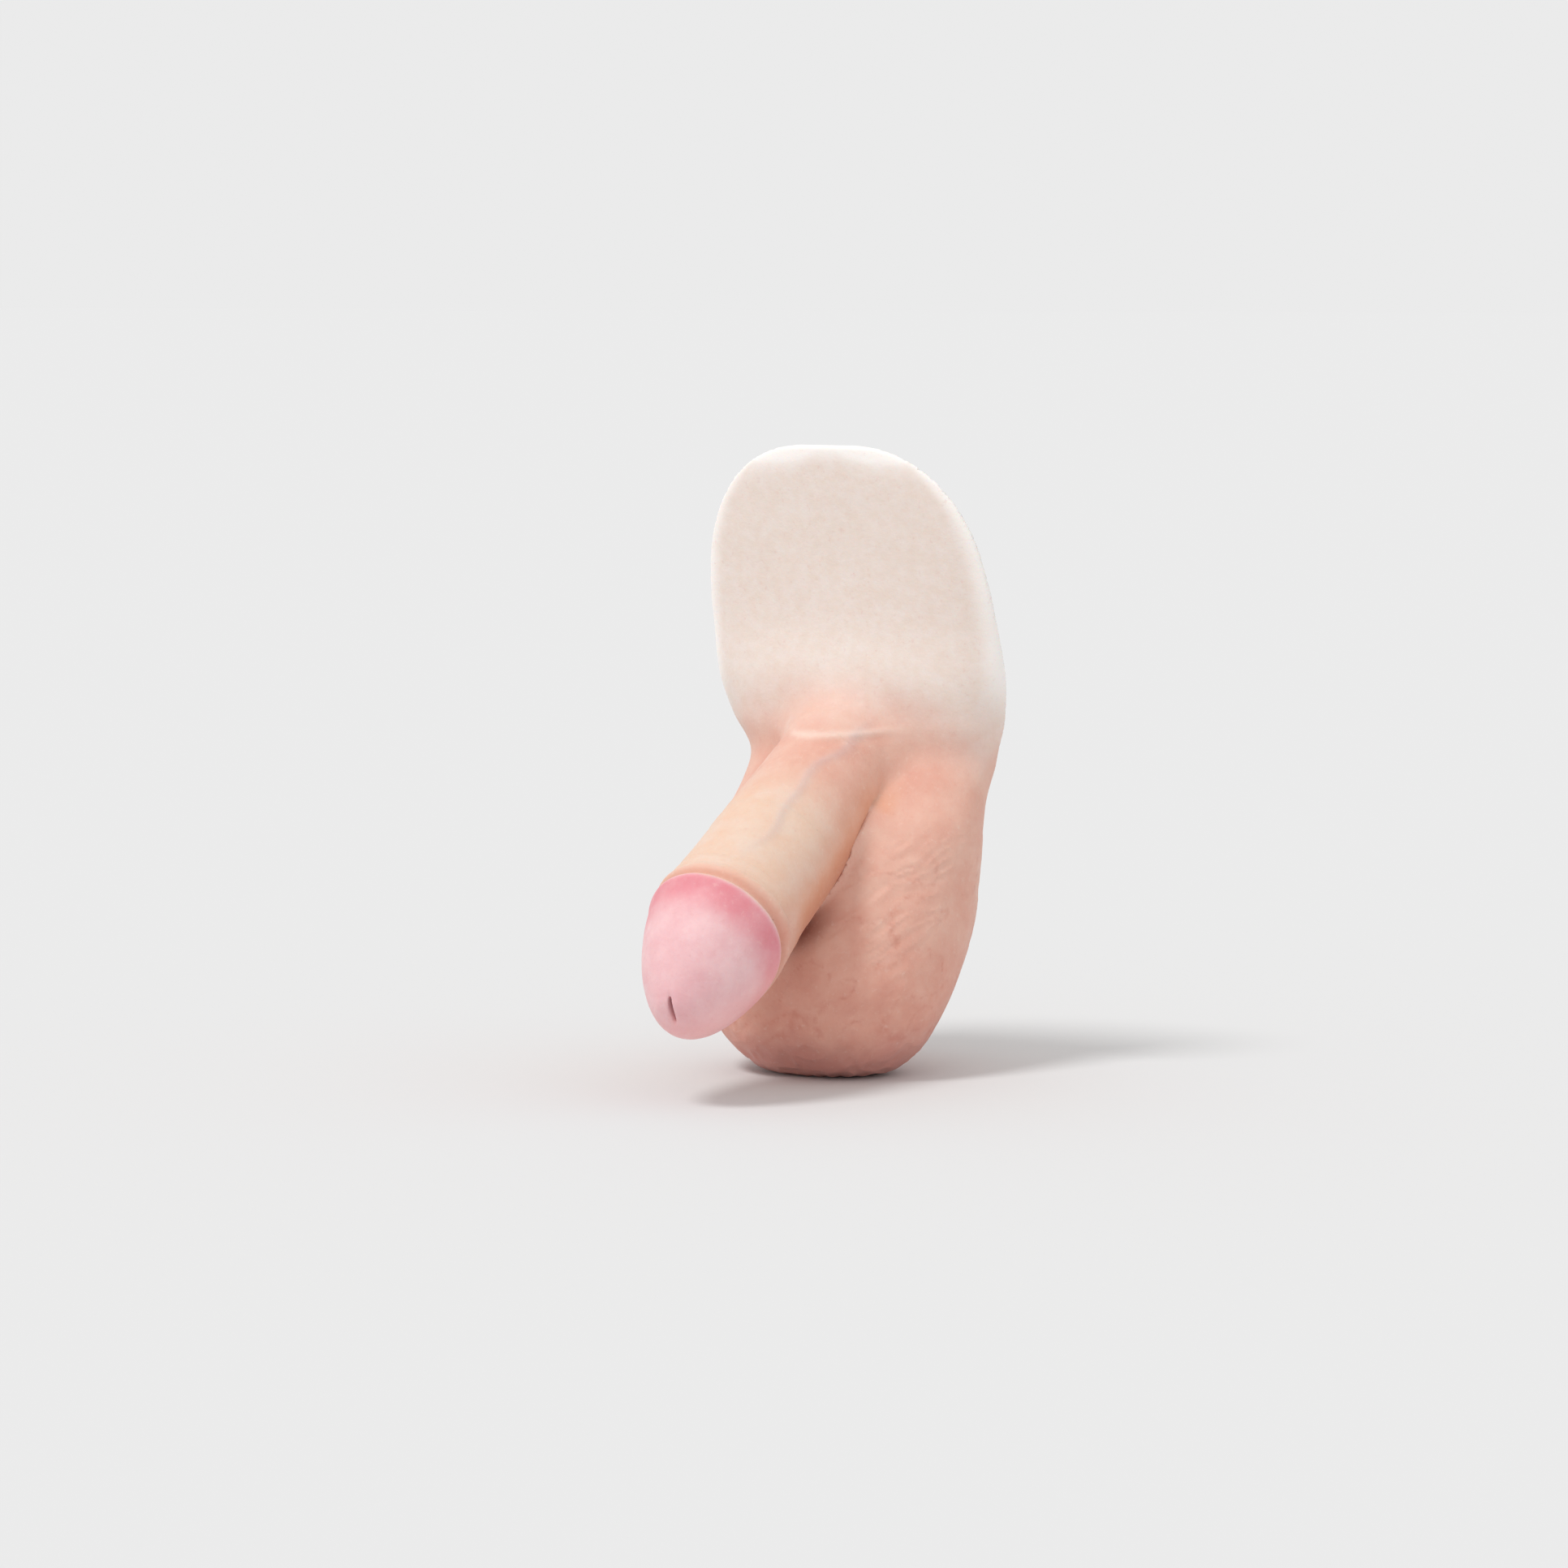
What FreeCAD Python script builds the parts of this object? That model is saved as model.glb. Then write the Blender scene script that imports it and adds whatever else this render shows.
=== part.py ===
"""Silicone external genital prosthesis: a pubic tab, a shaft with its glans, and a weighted scrotum.

Frame, in millimetres: the origin is the middle of the foot under the scrotum, +Z is up, -Y is the way
the shaft points, and +X is the wearer's left. The piece stands on its foot, pitched forward by tab_lean
from the way it is worn, so the flat back that is glued to the skin leans forward going up.

The outside is a thin skin. Inside it are a soft pad in the pubic mound, a softer gel with two inserts in
the scrotum, and a firm core down the shaft. The silicone bends as one casting. Here it is cut where it
flexes most: each cut is a ball or a barrel centred on its joint, so the two sides slide past each other
with flex_gap between.
"""

import FreeCAD
import Part
import math
import os
import Sketcher
from FreeCAD import Placement, Rotation, Vector

# Driving dimensions: alias, value in millimetres or degrees, what it is.
SIZES = [
    ("tab_lean", 16.5, "forward lean of the flat back, degrees"),
    ("back_y", 21.0, "where the flat back is at the shaft's height, y"),
    ("shaft_height", 88.0, "height of the shaft's axis where it starts"),
    ("shaft_start_y", 13.0, "y of the shaft's axis where it starts"),
    ("shaft_pitch", 31.0, "how far the shaft points below level, degrees"),
    ("shaft_radius", 18.0, "outside of the shaft's skin"),
    ("skin_thick", 2.0, "wall of the outer skin"),
    ("bond_gap", 0.1, "bond line between the skin and what fills it"),
    ("flex_gap", 0.3, "clearance at each flexing cut"),
    ("shaft_clear", 0.5, "clearance between the shaft's underside and the scrotum"),
    ("root_free", 27.0, "distance along the axis where the shaft leaves the mound"),
    ("lift_at", 37.0, "distance along the axis of the lifting joint"),
    ("lift_ball", 20.2, "radius of the ball at the lifting joint"),
    ("swing_at", 66.0, "distance along the axis of the swinging joint"),
    ("swing_ball", 19.0, "radius of the ball at the swinging joint"),
    ("flare_ends", 18.0, "distance along the axis where the root's flare has run out"),
    ("flare_at", -6.0, "distance along the axis where that flare is widest"),
    ("flare_radius", 24.0, "radius of that flare where it is widest"),
    ("glans_at", 87.0, "distance along the axis of the glans's rim"),
    ("shaft_length", 117.0, "distance along the axis of the tip; cutting bars run twice as far"),
    ("nose_radius", 12.0, "radius of the core inside the glans"),
    ("nose_length", 14.0, "how far the core reaches into the glans"),
    ("core_at", 2.0, "distance along the axis where the core starts"),
    ("hinge_height", 112.0, "height of the line where the tab folds"),
    ("hinge_depth", 4.4, "how far in front of the flat back that line is"),
    ("hinge_barrel", 8.0, "radius of the barrel cut along that line"),
    ("mesh_thick", 0.8, "woven backing in the flat back"),
    ("mesh_width", 62.0, "its width"),
    ("mesh_below", 26.0, "how far it reaches below the shaft's height, along the back"),
    ("mesh_above", 60.0, "how far it reaches above the shaft's height, along the back"),
    ("mesh_corner", 15.0, "its corner radius"),
    ("pad_floor", 62.0, "height where the pad meets the gel"),
    ("insert_x", 14.5, "distance of each insert from the middle"),
    ("insert_y", -0.5, "y of both inserts"),
    ("insert_z", 30.0, "height of both inserts"),
    ("insert_wide", 12.0, "half width of an insert"),
    ("insert_deep", 13.0, "half depth of an insert"),
    ("insert_tall", 17.0, "half height of an insert"),
    ("insert_clear", 0.6, "clearance round an insert"),
    ("insert_play", 2.0, "how far an insert shifts up or down in its pocket"),
]

# Level sections of the outside, from the foot up: name, height, half width, half depth, y of the middle.
# The back is cut off flat afterwards, so a section of the tab is the front half of its ellipse.
SECTIONS = [
    ("foot", 0.0, 16.0, 11.0, -5.5),
    ("heel", 3.0, 21.2, 15.7, -6.0),
    ("sole", 9.0, 27.2, 20.8, -6.0),
    ("low", 20.0, 33.5, 27.0, -3.5),
    ("belly", 35.0, 37.0, 31.0, 1.5),
    ("upper", 52.0, 37.5, 29.5, 6.0),
    ("crotch", 67.0, 37.5, 25.5, 10.4),
    ("groin", 76.0, 36.6, 18.5, 17.0),
    ("mound", 84.0, 37.0, 14.0, 20.5),
    ("brow", 93.0, 41.0, 13.5, 18.5),
    ("tab_low", 104.0, 43.6, 11.2, 15.2),
    ("tab_mid", 118.0, 43.2, 7.6, 11.1),
    ("tab_high", 132.0, 41.6, 5.6, 6.9),
    ("shoulder", 145.0, 37.2, 4.1, 3.1),
    ("corner", 156.0, 29.6, 2.8, -0.2),
    ("rim", 163.0, 20.2, 2.0, -2.2),
    ("top", 167.5, 9.5, 1.3, -3.6),
]
FILLED = ("heel", "sole", "low", "belly", "upper", "crotch", "groin", "mound", "brow", "tab_low")

# Cross sections of the glans, square to the shaft's axis: name, distance beyond the glans's rim, half
# width, half height, and how far the middle is above the axis. The underside stays full while the top
# slopes away.
GLANS_SECTIONS = [
    ("ridge", 0.0, 20.0, 20.0, 0.0),
    ("ridge_lip", 3.5, 19.4, 19.6, -0.3),
    ("slope", 8.5, 17.5, 17.8, -1.0),
    ("cap", 13.5, 15.4, 15.9, -2.0),
    ("snout", 18.5, 13.0, 13.8, -2.9),
    ("nose_end", 23.5, 9.6, 10.4, -3.6),
    ("tip", 27.5, 5.4, 6.0, -3.9),
    ("tip_end", 29.5, 1.6, 1.8, -4.0),
]

LEVEL_AXIS = Vector(1, 0, 0)
TOOL_SIDE = 200.0  # side of the boxes used to cut, larger than the whole piece

doc = FreeCAD.newDocument("genital_prosthesis")
sheet = doc.addObject("Spreadsheet::Sheet", "sizes")


def fill_sheet():
    """One row for each driving dimension, and four for each section."""
    rows = list(SIZES)
    for name, place, half_width, half_depth, middle in SECTIONS + GLANS_SECTIONS:
        rows.append((f"{name}_place", place, f"where section {name} is"))
        rows.append((f"{name}_wide", half_width, "its half width"))
        rows.append((f"{name}_deep", half_depth, "its half depth"))
        rows.append((f"{name}_middle", middle, "where its middle is"))
    for number, (alias, value, note) in enumerate(rows, start=1):
        sheet.set(f"A{number}", alias)
        sheet.set(f"B{number}", str(value))
        sheet.set(f"C{number}", note)
        sheet.setAlias(f"B{number}", alias)
    doc.recompute()


def size(alias):
    return float(sheet.get(alias))


# ---------------------------------------------------------------- places


def bind(item, **cells):
    """Binds properties of item to expressions; __ in a name stands for a dot."""
    for name, expression in cells.items():
        item.setExpression(name.replace("__", "."), expression)
    return item


def along_shaft(item, distance="0"):
    """Puts item's own Z on the shaft's axis, from this far along it, with its own Y up and forward."""
    item.Placement = Placement(Vector(), Rotation(LEVEL_AXIS, 90 + size("shaft_pitch")))
    return bind(
        item,
        Placement__Rotation__Angle="90 deg + sizes.shaft_pitch * 1 deg",
        Placement__Base__y=f"sizes.shaft_start_y - ({distance}) * cos(sizes.shaft_pitch * 1 deg)",
        Placement__Base__z=f"sizes.shaft_height - ({distance}) * sin(sizes.shaft_pitch * 1 deg)",
    )


def on_back(item, across="0", outward="0", up="0"):
    """Puts item on the flat back: its own Z runs up the back and its own Y points out, behind the piece."""
    lean = "sizes.tab_lean * 1 deg"
    item.Placement = Placement(Vector(), Rotation(LEVEL_AXIS, size("tab_lean")))
    return bind(
        item,
        Placement__Rotation__Angle=lean,
        Placement__Base__x=across,
        Placement__Base__y=f"sizes.back_y + ({outward}) * cos({lean}) - ({up}) * sin({lean})",
        Placement__Base__z=f"sizes.shaft_height + ({outward}) * sin({lean}) + ({up}) * cos({lean})",
    )


# ---------------------------------------------------------------- booleans


def cut(name, base, tool):
    made = doc.addObject("Part::Cut", name)
    made.Base, made.Tool = base, tool
    return made


def fuse(name, *shapes):
    made = doc.addObject("Part::MultiFuse", name)
    made.Shapes = list(shapes)
    return made


def common(name, base, tool):
    made = doc.addObject("Part::MultiCommon", name)
    made.Shapes = [base, tool]
    return made


# ---------------------------------------------------------------- sketched pieces


def new_sketch(body, plane, name):
    sketch = body.newObject("Sketcher::SketchObject", name)
    origin = [f for f in body.Origin.OriginFeatures if f.Role == plane][0]
    sketch.AttachmentSupport = [(origin, "")]
    sketch.MapMode = "FlatFace"
    return sketch


def hold(sketch, name, constraint, expression):
    """Adds a sized constraint, and binds it to the sheet."""
    number = sketch.addConstraint(constraint)
    sketch.renameConstraint(number, name)
    sketch.setExpression(f"Constraints.{name}", expression)


def across(sketch, name, line, end, value, expression):
    """Holds one end of a line this far from the axis."""
    hold(sketch, name, Sketcher.Constraint("DistanceX", -1, 1, line, end, value), expression)


def along(sketch, name, line, end, value, expression):
    """Holds one end of a line this far along the axis, on either side of the origin."""
    ends = (-1, 1, line, end) if value >= 0 else (line, end, -1, 1)
    signed = expression if value >= 0 else f"-({expression})"
    hold(sketch, name, Sketcher.Constraint("DistanceY", *ends, abs(value)), signed)


def ball_end(sketch, name, start, end, centre_at, radius, centre_cell, radius_cell):
    """An arc from start to end about a point on the axis: the profile of a ball or of the cup round it."""
    centre = Vector(0, centre_at, 0)
    angles = [math.atan2(p.y - centre_at, p.x) for p in (start, end)]
    circle = Part.Circle(centre, Vector(0, 0, 1), radius)
    arc = sketch.addGeometry(Part.ArcOfCircle(circle, min(angles), max(angles)))
    sketch.addConstraint(Sketcher.Constraint("PointOnObject", arc, 3, -2))
    hold(sketch, f"{name}_at", Sketcher.Constraint("DistanceY", -1, 1, arc, 3, centre_at), centre_cell)
    hold(sketch, f"{name}_radius", Sketcher.Constraint("Radius", arc, radius), radius_cell)
    return arc


def turned(name, sketch_it, label=None):
    """A body turned about its own Z, from the profile that sketch_it draws to the right of that axis."""
    body = doc.addObject("PartDesign::Body", name)
    body.Label = label or name
    sketch = new_sketch(body, "XZ_Plane", f"{name}_profile")
    sketch_it(sketch)
    doc.recompute()
    turn = body.newObject("PartDesign::Revolution", f"{name}_turn")
    turn.Profile = sketch
    turn.ReferenceAxis = (sketch, ["V_Axis"])
    turn.Angle = 360.0
    body.Tip = turn
    return along_shaft(body)


def reach(radius, ball, at):
    """How far along the axis a ball's surface is, at this distance from the axis."""
    return at + math.sqrt(ball * ball - radius * radius)


def segment(outer, outer_cell, inner, inner_cell, cup, dome):
    """Draws the profile of a length of shaft: a cup at its root end, a dome at its far end.

    cup and dome are (place, its cell, radius, its cell). An inner radius of 0 makes it solid.
    """

    def draw(sketch):
        cup_at, cup_at_cell, cup_radius, cup_cell = cup
        dome_at, dome_at_cell, dome_radius, dome_cell = dome
        far_out = Vector(outer, reach(outer, dome_radius, dome_at), 0)
        far_in = Vector(inner, reach(inner, dome_radius, dome_at), 0)
        near_in = Vector(inner, reach(inner, cup_radius, cup_at), 0)
        near_out = Vector(outer, reach(outer, cup_radius, cup_at), 0)
        outside = sketch.addGeometry(Part.LineSegment(near_out, far_out))
        dome_arc = ball_end(sketch, "dome", far_out, far_in, dome_at, dome_radius, dome_at_cell, dome_cell)
        inside = sketch.addGeometry(Part.LineSegment(far_in, near_in))
        cup_arc = ball_end(sketch, "cup", near_in, near_out, cup_at, cup_radius, cup_at_cell, cup_cell)
        sketch.addConstraint(Sketcher.Constraint("Coincident", outside, 2, dome_arc, 1))
        sketch.addConstraint(Sketcher.Constraint("Coincident", dome_arc, 2, inside, 1))
        sketch.addConstraint(Sketcher.Constraint("Coincident", inside, 2, cup_arc, 2))
        sketch.addConstraint(Sketcher.Constraint("Coincident", cup_arc, 1, outside, 1))
        sketch.addConstraint(Sketcher.Constraint("Vertical", outside))
        across(sketch, "outer_radius", outside, 1, outer, outer_cell)
        if inner:
            sketch.addConstraint(Sketcher.Constraint("Vertical", inside))
            across(sketch, "inner_radius", inside, 1, inner, inner_cell)
        else:
            sketch.addConstraint(Sketcher.Constraint("PointOnObject", inside, 1, -2))
            sketch.addConstraint(Sketcher.Constraint("PointOnObject", inside, 2, -2))

    return draw


# ---------------------------------------------------------------- the outer form


def loft(name, rings):
    made = doc.addObject("Part::Loft", name)
    made.Sections = rings
    made.Solid = True
    return made


def form(name, inset):
    """The tab, mound and scrotum as one loft of level ellipses, each drawn in by this expression."""
    inner = inset != "0"
    rings = []
    for section, _, half_width, half_depth, _ in SECTIONS:
        if inner and section not in FILLED:
            continue
        ring = doc.addObject("Part::Ellipse", f"{name}_{section}")
        ring.MajorRadius, ring.MinorRadius = half_width, half_depth
        # Starting each ring at its back puts the loft's seam where the flat back cuts it off.
        ring.Angle1 = ring.Angle2 = 90.0
        bind(
            ring,
            MajorRadius=f"sizes.{section}_wide - {inset}",
            MinorRadius=f"sizes.{section}_deep - {inset}",
            Placement__Base__y=f"sizes.{section}_middle",
            Placement__Base__z=f"sizes.{section}_place",
        )
        rings.append(ring)
    return loft(f"{name}_loft", rings)


def shaft_bar(name, radius, start, end):
    """A plain round bar on the shaft's axis."""
    bar = doc.addObject("Part::Cylinder", name)
    bind(bar, Radius=radius, Height=f"({end}) - ({start})")
    return along_shaft(bar, start)


def behind_back(name, inward):
    """Everything behind a plane this far in front of the flat back."""
    block = doc.addObject("Part::Box", name)
    block.Length, block.Width, block.Height = TOOL_SIDE, TOOL_SIDE, 2 * TOOL_SIDE
    return on_back(block, str(-TOOL_SIDE / 2), f"-({inward})", str(-TOOL_SIDE))


def root_stub(name, inset, past="0"):
    """The shaft's root: flared inside the mound, and ended by the lifting joint's ball moved out by past."""
    drawn_in = 0.0 if inset == "0" else size("skin_thick")
    radius, flare = size("shaft_radius") - drawn_in, size("flare_radius") - drawn_in
    ball, at = size("lift_ball"), size("lift_at")
    low, high = size("flare_at"), size("flare_ends")
    # The flare is an arc tangent to the bar, so its centre is level with where the bar starts.
    sweep = ((flare - radius) ** 2 + (high - low) ** 2) / (2 * (flare - radius))

    def draw(sketch):
        rim, apex = Vector(radius, reach(radius, ball, at), 0), Vector(0, at + ball, 0)
        waist, skirt, floor = Vector(radius, high, 0), Vector(flare, low, 0), Vector(0, low, 0)
        outside = sketch.addGeometry(Part.LineSegment(waist, rim))
        dome = ball_end(sketch, "dome", rim, apex, at, ball, f"sizes.lift_at + {past}", "sizes.lift_ball")
        axis = sketch.addGeometry(Part.LineSegment(apex, floor))
        base = sketch.addGeometry(Part.LineSegment(floor, skirt))
        centre = Vector(radius + sweep, high, 0)
        skirt_angle = math.atan2(skirt.y - centre.y, skirt.x - centre.x) % (2 * math.pi)
        circle = Part.Circle(centre, Vector(0, 0, 1), sweep)
        flare_arc = sketch.addGeometry(Part.ArcOfCircle(circle, math.pi, skirt_angle))
        joined = [(outside, 2, dome, 1), (dome, 2, axis, 1), (axis, 2, base, 1), (base, 2, flare_arc, 2)]
        for ends in joined:
            sketch.addConstraint(Sketcher.Constraint("Coincident", *ends))
        sketch.addConstraint(Sketcher.Constraint("Tangent", outside, 1, flare_arc, 1))
        sketch.addConstraint(Sketcher.Constraint("PointOnObject", axis, 1, -2))
        sketch.addConstraint(Sketcher.Constraint("PointOnObject", axis, 2, -2))
        sketch.addConstraint(Sketcher.Constraint("Vertical", outside))
        sketch.addConstraint(Sketcher.Constraint("Horizontal", base))
        across(sketch, "bar_radius", outside, 1, radius, f"sizes.shaft_radius - {inset}")
        along(sketch, "flare_end", outside, 1, high, "sizes.flare_ends")
        across(sketch, "skirt_radius", base, 2, flare, f"sizes.flare_radius - {inset}")
        along(sketch, "flare_start", base, 1, low, "sizes.flare_at")

    return turned(name, draw)


def flex_tools():
    """What lies above the tab's fold: once up to the barrel, and once clear of it by flex_gap."""
    above = doc.addObject("Part::Box", "above_fold")
    above.Length, above.Width, above.Height = TOOL_SIDE, TOOL_SIDE, TOOL_SIDE
    climb = "(sizes.hinge_height - sizes.shaft_height + sizes.hinge_depth * sin(sizes.tab_lean * 1 deg))"
    up = f"{climb} / cos(sizes.tab_lean * 1 deg)"
    on_back(above, str(-TOOL_SIDE / 2), f"-sizes.hinge_depth - {TOOL_SIDE / 2}", up)
    tools = []
    for name, gap in (("barrel", "0"), ("barrel_cup", "sizes.flex_gap")):
        barrel = doc.addObject("Part::Cylinder", name)
        bind(barrel, Radius=f"sizes.hinge_barrel + {gap}")
        barrel.Height = TOOL_SIDE
        barrel.Placement = Placement(Vector(-TOOL_SIDE / 2, 0, 0), Rotation(Vector(0, 1, 0), 90))
        lean = "sizes.tab_lean * 1 deg"
        bind(
            barrel,
            Placement__Base__y=f"sizes.back_y - sizes.hinge_depth * cos({lean}) - ({up}) * sin({lean})",
            Placement__Base__z="sizes.hinge_height",
        )
        tools.append(cut(f"beyond_{name}", above, barrel))
    return tools


# ---------------------------------------------------------------- the pieces


def make_mesh(name):
    """The woven backing: a rounded panel let into the flat back, as one body before the fold divides it."""
    body = doc.addObject("PartDesign::Body", name)
    sketch = new_sketch(body, "XZ_Plane", f"{name}_outline")
    half, low, high = size("mesh_width") / 2, -size("mesh_below"), size("mesh_above")
    corners = [Vector(-half, low, 0), Vector(half, low, 0), Vector(half, high, 0), Vector(-half, high, 0)]
    for i, corner in enumerate(corners):
        sketch.addGeometry(Part.LineSegment(corner, corners[(i + 1) % len(corners)]))
    for i in range(len(corners)):
        sketch.addConstraint(Sketcher.Constraint("Coincident", i, 2, (i + 1) % len(corners), 1))
    for i, way in ((1, "Vertical"), (2, "Horizontal"), (3, "Vertical")):
        sketch.addConstraint(Sketcher.Constraint(way, i))
    sketch.addConstraint(Sketcher.Constraint("Symmetric", 0, 1, 0, 2, -2))
    hold(sketch, "panel_wide", Sketcher.Constraint("DistanceX", 0, 1, 0, 2, 2 * half), "sizes.mesh_width")
    hold(sketch, "panel_below", Sketcher.Constraint("DistanceY", 0, 1, -1, 1, -low), "sizes.mesh_below")
    hold(sketch, "panel_above", Sketcher.Constraint("DistanceY", -1, 1, 2, 1, high), "sizes.mesh_above")
    doc.recompute()
    pad = body.newObject("PartDesign::Pad", f"{name}_pad")
    pad.Profile = sketch
    bind(pad, Length="sizes.mesh_thick")
    doc.recompute()
    upright = [
        f"Edge{i}"
        for i, edge in enumerate(pad.Shape.Edges, start=1)
        if abs(edge.tangentAt(edge.FirstParameter).y) > 0.99
    ]
    rounded = body.newObject("PartDesign::Fillet", f"{name}_corners")
    rounded.Base = (pad, upright)
    rounded.Radius = size("mesh_corner")
    bind(rounded, Radius="sizes.mesh_corner")
    body.Tip = rounded
    doc.recompute()
    # The pad grows along the sketch's own normal, -Y, so it lies in front of the flat back.
    return on_back(body)


def make_insert(name, side, grow, play):
    """One egg-shaped insert, or with grow and play the pocket it shifts in."""
    egg = doc.addObject("Part::Ellipsoid", name)
    return bind(
        egg,
        Radius1=f"sizes.insert_tall + {grow} + {play}",
        Radius2=f"sizes.insert_wide + {grow}",
        Radius3=f"sizes.insert_deep + {grow}",
        Placement__Base__x=f"{side} * sizes.insert_x",
        Placement__Base__y="sizes.insert_y",
        Placement__Base__z="sizes.insert_z",
    )


def make_root_core(name):
    """The firm core's root: a bar in the mound, and its share of the lifting joint's ball."""
    bar = size("shaft_radius") - size("skin_thick") - size("bond_gap")
    ball, at, start = size("lift_ball"), size("lift_at"), size("core_at")

    def draw(sketch):
        rim, apex = Vector(bar, reach(bar, ball, at), 0), Vector(0, at + ball, 0)
        middle, heel = Vector(0, start, 0), Vector(bar, start, 0)
        dome = ball_end(sketch, "dome", rim, apex, at, ball, "sizes.lift_at", "sizes.lift_ball")
        axis = sketch.addGeometry(Part.LineSegment(apex, middle))
        base = sketch.addGeometry(Part.LineSegment(middle, heel))
        outside = sketch.addGeometry(Part.LineSegment(heel, rim))
        for ends in [(dome, 2, axis, 1), (axis, 2, base, 1), (base, 2, outside, 1), (outside, 2, dome, 1)]:
            sketch.addConstraint(Sketcher.Constraint("Coincident", *ends))
        sketch.addConstraint(Sketcher.Constraint("PointOnObject", axis, 1, -2))
        sketch.addConstraint(Sketcher.Constraint("PointOnObject", axis, 2, -2))
        sketch.addConstraint(Sketcher.Constraint("Horizontal", base))
        sketch.addConstraint(Sketcher.Constraint("Vertical", outside))
        bar_cell = "sizes.shaft_radius - sizes.skin_thick - sizes.bond_gap"
        across(sketch, "bar_radius", outside, 1, bar, bar_cell)
        along(sketch, "core_start", base, 1, start, "sizes.core_at")

    return turned(name, draw)


def dome_solid(name, radius, length, start):
    """Half an egg on the shaft's axis, round end forward, from start on."""
    egg = doc.addObject("Part::Ellipsoid", name)
    bind(egg, Radius1=length, Radius2=radius, Radius3=radius)
    egg.Angle1 = 0.0
    return along_shaft(egg, start)


def make_glans_form(name):
    """The glans as one loft of ellipses square to the shaft's axis."""
    rings = []
    for section, _, half_width, half_height, _ in GLANS_SECTIONS:
        ring = doc.addObject("Part::Ellipse", f"{name}_{section}")
        # An ellipse's major radius comes first, so these taller than wide are drawn a quarter turn round.
        ring.MajorRadius, ring.MinorRadius = half_height, half_width
        quarter_turn = Rotation(Vector(0, 0, 1), 90)
        ring.Placement.Rotation = Rotation(LEVEL_AXIS, 90 + size("shaft_pitch")) * quarter_turn
        pitch = "sizes.shaft_pitch * 1 deg"
        reached = f"(sizes.glans_at + sizes.{section}_place)"
        middle = f"sizes.{section}_middle"
        bind(
            ring,
            MajorRadius=f"sizes.{section}_deep",
            MinorRadius=f"sizes.{section}_wide",
            Placement__Base__y=f"sizes.shaft_start_y - {reached} * cos({pitch}) - {middle} * sin({pitch})",
            Placement__Base__z=f"sizes.shaft_height - {reached} * sin({pitch}) + {middle} * cos({pitch})",
        )
        rings.append(ring)
    return loft(f"{name}_loft", rings)


def room_above(name, height):
    """Everything higher than this."""
    block = doc.addObject("Part::Box", name)
    block.Length, block.Width, block.Height = TOOL_SIDE, TOOL_SIDE, TOOL_SIDE
    block.Placement.Base = Vector(-TOOL_SIDE / 2, -TOOL_SIDE / 2, 0)
    return bind(block, Placement__Base__z=height)


def rooted_form(name, inset, past):
    """The whole outside with its root stub, drawn in by inset and cut off flat at the back."""
    clear = "sizes.shaft_radius + sizes.shaft_clear"
    trough = shaft_bar(f"{name}_trough", f"{clear} + {inset}", "sizes.root_free", "2 * sizes.shaft_length")
    nested = cut(f"{name}_nested", form(name, inset), trough)
    rooted = fuse(f"{name}_rooted", nested, root_stub(f"{name}_root", inset, past))
    return cut(f"{name}_whole", rooted, behind_back(f"{name}_back", inset))


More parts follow.
